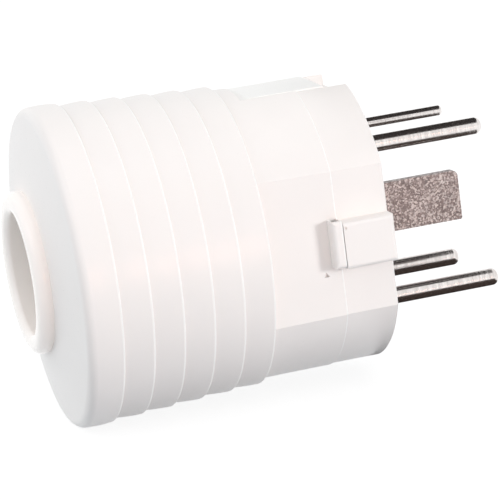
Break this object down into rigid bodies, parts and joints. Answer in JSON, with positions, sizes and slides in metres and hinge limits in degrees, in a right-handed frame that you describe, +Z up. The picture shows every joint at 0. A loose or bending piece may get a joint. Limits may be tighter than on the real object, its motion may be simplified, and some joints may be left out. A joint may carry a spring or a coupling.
{
  "type": "three-phase mains plug",
  "caption": "Round white three-phase plug with a stepped grip hood, flatted neck, slim contact pins, a flat earth blade and a soft cable collar.",
  "frame": {"origin": "centre of the mating face, the front face of the pin carrier", "axes": "+X along the plug's axis towards the pins, +Z up towards the locking slide, -Y towards the near side latch"},
  "size_m": [0.0966, 0.0658, 0.0658],
  "materials": {
    "white_shell": "fine spark-eroded grain",
    "gloss_collar": "smooth, glossy",
    "inner_plastic": "plain moulded",
    "nickel_pin": "turned, nickel plated",
    "earth_blade": "matte, speckled",
    "brass_terminal": "milled",
    "zinc_steel": "zinc plated"
  },
  "bodies": {
    "root": {"hood": "white_shell", "contact_carrier": "white_shell", "locking_slide": "white_shell", "cable_collar": "gloss_collar", "retainer_plate": "inner_plastic", "cord_saddle": "inner_plastic", "cord_bridge": "inner_plastic", "pin_l1": "nickel_pin", "pin_l2": "nickel_pin", "pin_l3": "nickel_pin", "pin_neutral": "nickel_pin", "earth_blade": "earth_blade", "terminal_earth": "brass_terminal", "terminal_l1": "brass_terminal", "terminal_l2": "brass_terminal", "terminal_l3": "brass_terminal", "terminal_neutral": "brass_terminal", "terminal_screws": "zinc_steel", "earth_screw": "zinc_steel", "wire_clamp_plates": "zinc_steel", "earth_clamp_plate": "zinc_steel", "retainer_screws": "zinc_steel", "clamp_screws": "zinc_steel", "clamp_nuts": "zinc_steel", "saddle_screws": "zinc_steel"}
  },
  "joints": []
}
